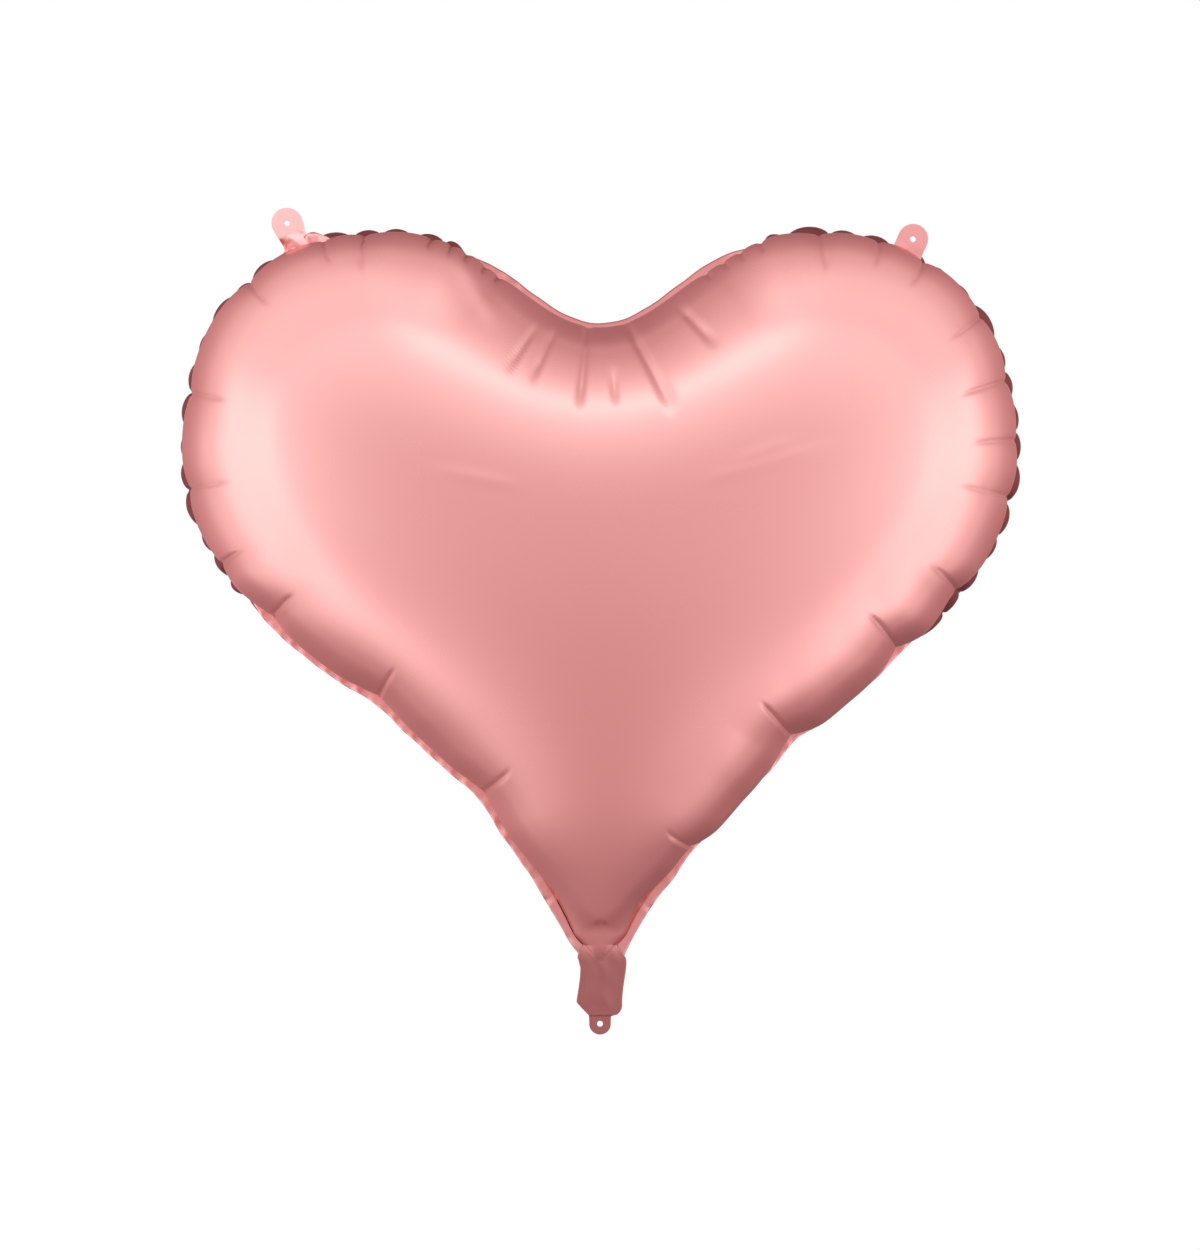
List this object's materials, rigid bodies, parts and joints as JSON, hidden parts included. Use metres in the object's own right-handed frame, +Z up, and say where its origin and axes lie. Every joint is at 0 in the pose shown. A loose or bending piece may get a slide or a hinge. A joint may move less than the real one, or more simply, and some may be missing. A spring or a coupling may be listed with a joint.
{
  "type": "heart-shaped foil balloon",
  "caption": "Inflated heart-shaped balloon of metallised film: domed front and back panels sealed round the edge, a flat filling neck with a one-way valve, and punched hanging tabs.",
  "frame": {"origin": "centre of the hole in the tail tab, below the neck, in the plane where the panels are sealed together", "axes": "+Z up from the tail tab to the lobes, +X to the right lobe seen from the front, front panel faces -Y"},
  "size_m": [0.66, 0.256, 0.6511],
  "materials": {
    "foil": "satin",
    "foil_seam": "satin",
    "valve_film": "gloss",
    "release_print": "matte"
  },
  "bodies": {
    "heart": {"front_panel": "foil", "back_panel": "foil", "seam_margin": "foil_seam", "valve_front_film": "valve_film", "valve_back_film": "valve_film", "valve_side_welds": "valve_film", "valve_release_print": "release_print"},
    "left_tab": {"hanging_tab_left": "foil_seam"},
    "right_tab": {"hanging_tab_right": "foil_seam"},
    "neck": {"neck_front": "foil", "neck_back": "foil", "neck_side_seals": "foil_seam", "valve_mouth_front": "valve_film", "valve_mouth_back": "valve_film"},
    "tail": {"tail_tab": "foil_seam"}
  },
  "joints": [
    {"name": "left_tab_fold", "type": "hinge", "parent": "heart", "child": "left_tab", "pos_m": [-0.23873, 0, 0.61315], "axis": [0.9135, 0, 0.4067], "range_deg": [-75, 75], "stiffness_Nm_per_rad": 0.0002},
    {"name": "right_tab_fold", "type": "hinge", "parent": "heart", "child": "right_tab", "pos_m": [0.24345, 0, 0.61115], "axis": [0.9135, 0, -0.4067], "range_deg": [-75, 75], "stiffness_Nm_per_rad": 0.0002},
    {"name": "neck_fold", "type": "hinge", "parent": "heart", "child": "neck", "pos_m": [0, 0, 0.0522], "axis": [1, 0, 0], "range_deg": [-75, 75], "stiffness_Nm_per_rad": 0.0005},
    {"name": "tail_fold", "type": "hinge", "parent": "neck", "child": "tail", "pos_m": [0, 0, 0.0048], "axis": [1, 0, 0], "range_deg": [-75, 75], "stiffness_Nm_per_rad": 0.0002}
  ]
}
